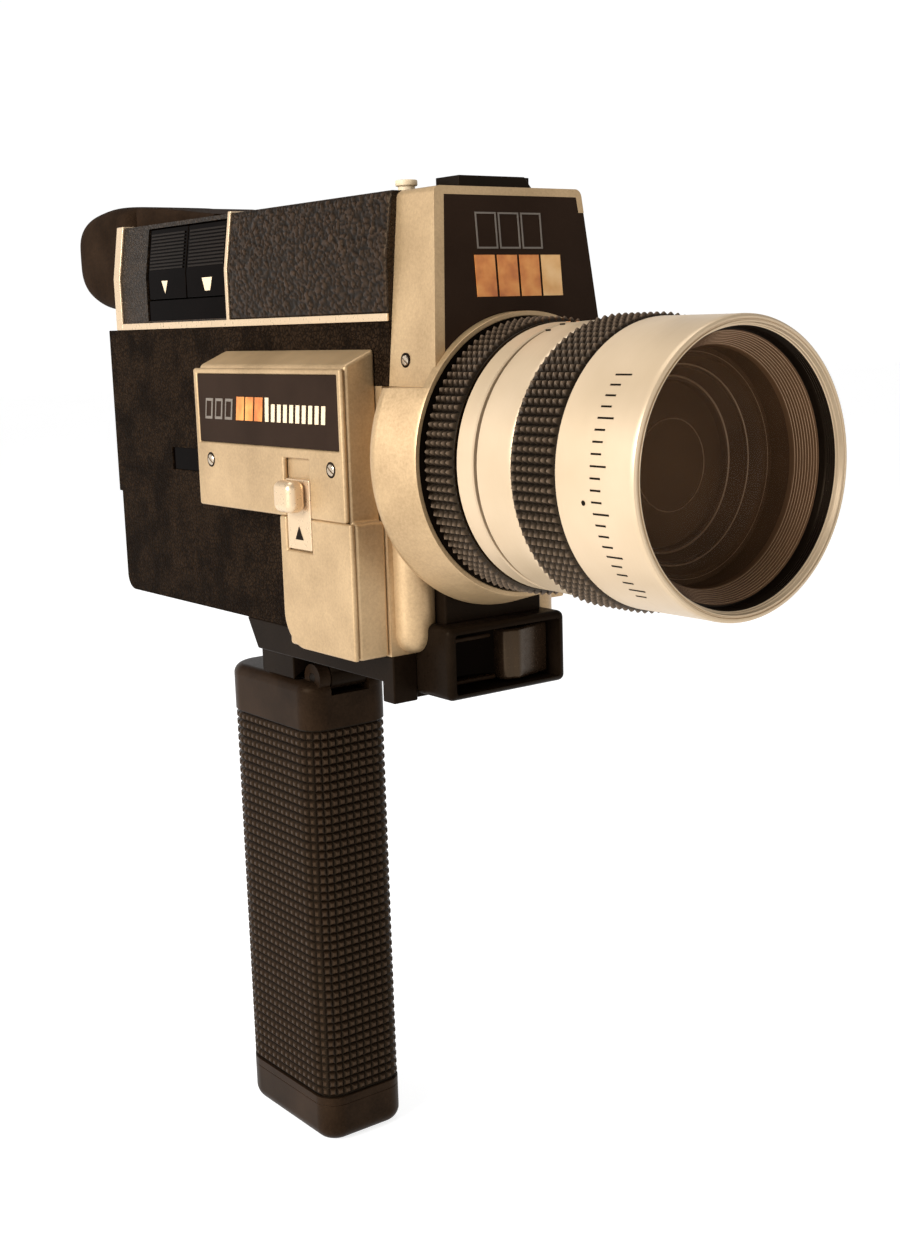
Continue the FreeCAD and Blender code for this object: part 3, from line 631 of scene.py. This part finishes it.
def keys():
    """Rocker keys for the power zoom: a plain lower half and fine ribs above."""
    for node, y0, y1 in (("wide_key", 163.6, 186.3), ("tele_key", 186.7, 209.4)):
        softened(node, GLOSS, 0.25, node)
        for number in range(11):
            z = 48.6 + number * 0.95
            x = -24.9 + (z - 47) * 1.9 / 13
            rib = block((x - 0.28, x + 0.4), (y0 + 1.4, y1 - 1.4), (z, z + 0.5))
            piece("%s_rib_%d" % (node, number), as_mesh("rib", rib), BLACK, node)
    tele = outline_solid([(197.4, 45.4), (201.0, 45.4), (199.2, 41.9)], -24.98, -24.7, "x")
    piece("tele_mark", as_mesh("tele_mark", tele), CREAM, "tele_key")
    wide = outline_solid([(171.6, 45.4), (177.2, 45.4), (175.8, 41.9), (173.0, 41.9)], -24.98, -24.7, "x")
    piece("wide_mark", as_mesh("wide_mark", wide), CREAM, "wide_key")


keys()


def crease(y, s):
    """Height of wrinkled hide, 0 in a crease to 1 on a fold."""
    spot = Vector((y * 0.5, s * 0.8, 3.7))
    spot += noise_vector(spot * 0.7) * 0.55
    near, points = voronoi(spot)
    edge = min((near[1] - near[0]) / 0.28, 1.0)
    return edge * edge * (3 - 2 * edge) * (0.65 + 0.35 * noise_value(spot * 0.9))


def hide_panel(name, side, y0, y1, step=0.42):
    """Leather glued to the side of the tunnel, wrinkled for real."""
    bm = bmesh.new()
    relief = bm.verts.layers.float.new("relief")
    low_run, lean = 47 - 33.9, hypot(14.3, 2.17)
    total = low_run + lean
    columns, rows = int((y1 - y0) / step), int(total / step)
    grid = []
    for r in range(rows + 1):
        s_run = total * r / rows
        row = []
        for c in range(columns + 1):
            y = y0 + (y1 - y0) * c / columns
            edge = min(1.0, min(y - y0, y1 - y, s_run, total - s_run) / 0.8)
            height = crease(y + side * 40, s_run)
            lift = 0.02 + edge * (0.05 + 0.55 * height)
            if s_run < low_run:
                x, z = 25.4 + lift, 33.9 + s_run
            else:
                t = (s_run - low_run) / lean
                x, z = 25.4 - 2.17 * t + lift, 47 + 14.3 * t + lift * 0.15
            vert = bm.verts.new(P(side * x, y, z))
            # The fold height also sets the colour: painted shade in the creases, painted highlight on the folds.
            vert[relief] = height
            row.append(vert)
        grid.append(row)
    for a, b in zip(grid, grid[1:]):
        for c in range(columns):
            bm.faces.new((a[c], a[c + 1], b[c + 1], b[c]))
    rim = grid[0] + [row[-1] for row in grid[1:]] + grid[-1][-2::-1] + [row[0] for row in grid[-2:0:-1]]
    back = [bm.verts.new(v.co - Vector((side * 0.0004, 0, 0))) for v in rim]
    for i in range(len(rim)):
        j = (i + 1) % len(rim)
        bm.faces.new((rim[i], rim[j], back[j], back[i]))
    bm.faces.new(back)
    piece(name, as_mesh(name, bm, 180), CREASE_SHADED, "camera_body", slot="leather")


hide_panel("tunnel_hide_front", -1, 88.2, 161.7)
hide_panel("tunnel_hide_far", 1, 88.2, 208.0, 0.5)


# ---------------------------------------------------------------- trigger

def trigger():
    """Finger pad bulged beside a sharp ridge, and a hollowed half where the fingertip comes in."""
    face = [(15.3, 82.2), (12.5, 81.6), (10, 81.0), (8, 80.5), (6.4, 80.0), (5.2, 79.6), (4.4, 79.42), (3.8, 79.5),
            (3.4, 79.85), (3.0, 80.1), (2.2, 80.2), (1.4, 80.35), (0.8, 80.8), (0.4, 81.6), (0.25, 83), (0.2, 84.5),
            (-2, 85.3), (-6, 85.9), (-15.3, 86.5), (-15.3, 89), (15.3, 89)]
    front = lambda e: abs(e.verts[0].co.z - e.verts[1].co.z) < 1e-6
    bm = soften(outline_solid(face, -56.3, -43.4, "z"), 0.9, 5, 40, front)
    piece("trigger_pad", as_mesh("trigger_pad", bm, 40), PAD, "trigger", "trigger", slot="gloss_black")
    # Gloss-black plate over the pad's hollowed half: painted shade for the deep hollow.
    shade = [(-15.25, 86.35), (-6, 85.75), (-2, 85.15), (0.12, 84.3), (0.3, 84.5), (-2, 85.5), (-15.25, 86.8)]
    piece("trigger_shade", as_mesh("trigger_shade", outline_solid(shade, -56.2, -43.5, "z")), GLOSS, "trigger")
    # Two rounded bars along the hollow's top and bottom, coloured lighter than the gloss black as painted highlight
    # strips.
    for number, (y, z) in enumerate(((84.6, -45.2), (83.4, -55.5))):
        bar = soften(block((-14.4, 0.0), (y, y + 2.6), (z - 0.55, z + 0.55)), 0.45, 4)
        weighted(piece("trigger_bar_%d" % number, as_mesh("trigger_highlight_bar", bar), GRIP, "trigger"))


trigger()


# ---------------------------------------------------------------- grip

def grip_path(inset, step_count):
    """Points round the grip's plan with the way out at each, evenly spaced."""
    corners = [(-14, 150, 6.5, 180), (14, 150, 6.5, 270), (14, 199, 10.5, 0), (-14, 199, 10.5, 90)]
    fine = []
    for x, y, radius, start in corners:
        cx, cy = x - (radius if x > 0 else -radius), y - (radius if y > 170 else -radius)
        for k in range(25):
            a = radians(start + 90 * k / 24)
            fine.append((cx + radius * cos(a), cy + radius * sin(a), cos(a), sin(a)))
    fine.append(fine[0])
    length = [0]
    for a, b in zip(fine, fine[1:]):
        length.append(length[-1] + hypot(b[0] - a[0], b[1] - a[1]))
    out = []
    for i in range(step_count):
        goal = length[-1] * i / step_count
        k = max(j for j in range(len(length) - 1) if length[j] <= goal)
        gap = length[k + 1] - length[k]
        t = (goal - length[k]) / gap if gap > 1e-9 else 0
        x, y, nx, ny = (fine[k][m] + (fine[k + 1][m] - fine[k][m]) * t for m in range(4))
        size = hypot(nx, ny)
        out.append((x - inset * nx / size, y - inset * ny / size, nx / size, ny / size))
    return out


def grip():
    around, rows_count = 56, 44
    path = grip_path(0.8, around)
    rows = []
    for r in range(rows_count + 1):
        z = -190.4 + (-80.6 + 190.4) * r / rows_count
        rows.append([(P(x, y, z), Vector((nx, ny, 0)) * 0.0008) for x, y, nx, ny in path])
    bm = bmesh.new()
    grid = studs(bm, rows, True, 0.34)
    for edge, z in ((grid[0], -191), (grid[-1], -80)):
        ring = [bm.verts.new(P(x, y, z)) for x, y, nx, ny in path]
        for i in range(around):
            j = (i + 1) % around
            bm.faces.new((edge[i], edge[j], ring[j], ring[i]))
        bm.faces.new(ring)
    # The studs' colour follows their relief: painted shade between them, painted highlight on the tips.
    piece("grip_studs", as_mesh("grip_studs", bm, 20), SHADED_GRIP, "grip", "grip_sleeve", slot="rubber")
    softened("grip_block", GRIP, 0.25, "grip")
    softened("grip_shell", GRIP, 0.15, "grip")
    softened("battery_cap", GRIP, 0.3, "battery_cap")
    softened("grip_pin", BLACK, 0.2, "grip")


grip()


# ---------------------------------------------------------------- eyecup

def eyecup():
    sections = [(229.9, 52.8, 15.3, 17.8, 8), (236, 53.1, 15.6, 18.8, 7), (243, 53.4, 15.9, 19, 6.5),
                (250, 53.6, 15.9, 19, 6), (257, 53.6, 15.3, 19, 5.5), (262, 54.1, 14.3, 19, 5),
                (266, 54.3, 13.0, 18.9, 4.5), (269, 54.7, 10.9, 18.2, 4), (270.8, 54.9, 9.0, 16.8, 3.5),
                (271.4, 55.0, 7.9, 14.8, 3)]
    inner = [(270.6, 54.7, 7.3, 13.2, 2.2), (268, 54.5, 7.1, 12.0, 2.2), (260, 54.5, 7.0, 9.6, 2.1),
             (240.5, 54.5, 6.6, 7.4, 2)]
    bm = bmesh.new()
    steps = 72
    rings = []
    for y, zc, high, wide, power in sections + inner:
        ring = []
        for i in range(steps):
            a = 2 * pi * i / steps
            c, s = cos(a), sin(a)
            x = wide * abs(c) ** (2 / power) * (1 if c > 0 else -1)
            z = high * abs(s) ** (2 / power) * (1 if s > 0 else -1)
            ring.append(bm.verts.new(P(x, y, zc + z)))
        rings.append(ring)
    for first, second in zip(rings, rings[1:]):
        for i in range(steps):
            j = (i + 1) % steps
            bm.faces.new((first[i], first[j], second[j], second[i]))
    bm.faces.new(rings[0])
    bm.faces.new(rings[-1])
    obj = piece("eyecup_skin", as_mesh("eyecup_skin", bm, 50), RUBBER, "camera_body", "eyecup", slot="rubber")
    obj.modifiers.new("smooth", "SUBSURF").levels = 1


def hood():
    """Rubber hood that leads from the roof into the eyecup."""
    bm = from_node("eyepiece_hood")
    upper = lambda e: all(v.co.z > (62.2 + AXIS_Z) / 1000 for v in e.verts)
    soften(bm, 2.6, 6, 25, lambda e: upper(e) and abs((e.verts[0].co - e.verts[1].co).normalized().x) < 0.5
           and max(v.co.y for v in e.verts) - min(v.co.y for v in e.verts) > 0.003)
    weighted(piece("eyepiece_hood_skin", as_mesh("eyepiece_hood_skin", bm), RUBBER, "camera_body", "eyepiece_hood"))


eyecup()
hood()


# ---------------------------------------------------------------- marks in place of lettering

def slanted(x, y0, y1, z0, z1, lean):
    return outline_solid([(y0, z0), (y1, z0), (y1 - lean, z1), (y0 - lean, z1)], x - 0.12, x + 0.2, "x")


def side_marks():
    """Plain striped decoration on the side nameplate."""
    for number in range(3):
        y = 160.5 - number * 5.2
        outer = slanted(-35.3, y - 3.8, y, 8.2, 13.6, 0.9)
        obj = piece("side_frame_%d" % number, as_mesh("side_frame", outer), GREY, "camera_body")
        carve(obj, slanted(-35.3, y - 3.2, y - 0.6, 8.9, 12.9, 0.7))
    for number in range(3):
        y = 144.2 - number * 4.6
        bar = slanted(-35.3, y - 3.9, y, 8.2, 14.2, 0.9)
        piece("side_amber_%d" % number, as_mesh("side_amber", bar), AMBER, "camera_body")
    for number in range(10):
        y = 129.6 - number * 2.9
        bar = slanted(-35.3, y - 1.7, y, 8.2, 14.2 if number == 0 else 12.6, 0.5)
        piece("side_cream_%d" % number, as_mesh("side_cream", bar), CREAM, "camera_body")


side_marks()


def leaning(x0, x1, z0, z1, low=-0.12, high=0.15):
    """Flat mark on the front panel, whose face leans back as it rises."""
    bm = bmesh.new()
    face = lambda z: 69.8 + (z - 17) * 4 / 44.5
    ends = [[bm.verts.new(P(x, face(z) + off, z)) for x, z in ((x0, z0), (x1, z0), (x1, z1), (x0, z1))]
            for off in (low, high)]
    bm.faces.new(ends[0])
    bm.faces.new(ends[1][::-1])
    for i in range(4):
        bm.faces.new((ends[0][i], ends[0][(i + 1) % 4], ends[1][(i + 1) % 4], ends[1][i]))
    return bm


def panel_marks():
    """Plain framed and filled blocks on the front panel."""
    for number in range(3):
        x = -10.9 + number * 6.7
        frame_mark = piece("panel_frame_%d" % number, as_mesh("panel_frame", leaning(x, x + 6.1, 47.6, 55.8)), GREY,
                           "camera_body")
        carve(frame_mark, leaning(x + 0.4, x + 5.7, 48.0, 55.4, -1, 1))
    for number, mat in enumerate((AMBER, AMBER, AMBER, PALE_AMBER)):
        x = -12 + number * 6.6
        piece("panel_block_%d" % number, as_mesh("panel_block", leaning(x, x + 5.9, 36.8, 46.2)), mat, "camera_body")


panel_marks()
screw("housing_screw", (-25.6, 81.7, 23.0), "x", 1.2)


# ---------------------------------------------------------------- what is left of the CAD nodes

FINISH = {
    "lens_tube": BARREL, "relay_lens": GLASS, "variator_cell": BLACK, "variator_lens": GLASS,
    "helicoid_carrier": STEEL, "focus_sleeve": BLACK, "film_gate": STEEL, "shutter_motor": STEEL,
    "shutter_disc": BLACK, "winding_motor": STEEL, "takeup_spindle": CREAM, "cartridge_spring": STEEL,
    "eyepiece_tube": BLACK, "eyepiece_lens": GLASS, "battery_cells": AMBER,
}
for name, mat in FINISH.items():
    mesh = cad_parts[name].data
    mesh.materials.clear()
    mesh.materials.append(mat)


# ---------------------------------------------------------------- camera, floor and light

def camera():
    turn, tip, roll = radians(36.70), radians(10.64), radians(1.78)
    ahead = Vector((cos(tip) * sin(turn), cos(tip) * cos(turn), -sin(tip)))
    right = Vector((cos(turn), -sin(turn), 0))
    down = ahead.cross(right)
    right, down = right * cos(roll) + down * sin(roll), down * cos(roll) - right * sin(roll)
    data = bpy.data.cameras.new("view")
    data.lens, data.sensor_width = 46.59, 36
    obj = bpy.data.objects.new("view", data)
    bpy.context.scene.collection.objects.link(obj)
    grid = Matrix((right, -down, -ahead)).transposed()
    obj.matrix_world = Matrix.Translation((-0.2459, -0.3528, 0.0910)) @ grid.to_4x4()
    data.clip_start = 0.01
    bpy.context.scene.camera = obj


def area(name, spot, size, power, target=(0, 0, 0.03)):
    data = bpy.data.lights.new(name, "AREA")
    data.size, data.energy = size, power
    obj = bpy.data.objects.new(name, data)
    bpy.context.scene.collection.objects.link(obj)
    obj.location = spot
    obj.rotation_euler = (Vector(target) - Vector(spot)).to_track_quat("-Z", "Y").to_euler()


def studio():
    bm = bmesh.new()
    size, level = 6, -0.1452
    bm.faces.new([bm.verts.new((x * size, y * size, level)) for x, y in ((-1, -1), (1, -1), (1, 1), (-1, 1))])
    mesh = bpy.data.meshes.new("floor")
    bm.to_mesh(mesh)
    bm.free()
    floor = bpy.data.objects.new("floor", mesh)
    bpy.context.scene.collection.objects.link(floor)
    mat, tree, bsdf = shader("pale_floor", Roughness=0.7, Emission_Color=(1, 1, 1, 1), Emission_Strength=0.8)
    tree.links.new(ramp(tree, noise(tree, 3, 2), [(0.3, (0.44, 0.44, 0.44)), (0.7, (0.47, 0.47, 0.47))]),
                   bsdf.inputs["Base Color"])
    mesh.materials.append(mat)
    area("key", (-1.2, -0.12, 0.5), 0.6, 21)
    area("top", (0.0, 0.2, 1.2), 0.9, 6.5)
    world = bpy.data.worlds.new("surround")
    world.use_nodes = True
    tree = world.node_tree
    place = tree.nodes.new("ShaderNodeTexCoord")
    facing = tree.nodes.new("ShaderNodeVectorMath")
    facing.operation = "DOT_PRODUCT"
    facing.inputs[1].default_value = (0, 0, 1)
    tree.links.new(place.outputs["Generated"], facing.inputs[0])
    background = tree.nodes["Background"]
    background.inputs["Color"].default_value = (1, 1, 1, 1)
    tree.links.new(remap(tree, facing.outputs["Value"], 1.03, 0.2, 0.26, 0.5), background.inputs["Strength"])
    bpy.context.scene.world = world
    bpy.context.scene.view_settings.view_transform = "Standard"


camera()
studio()
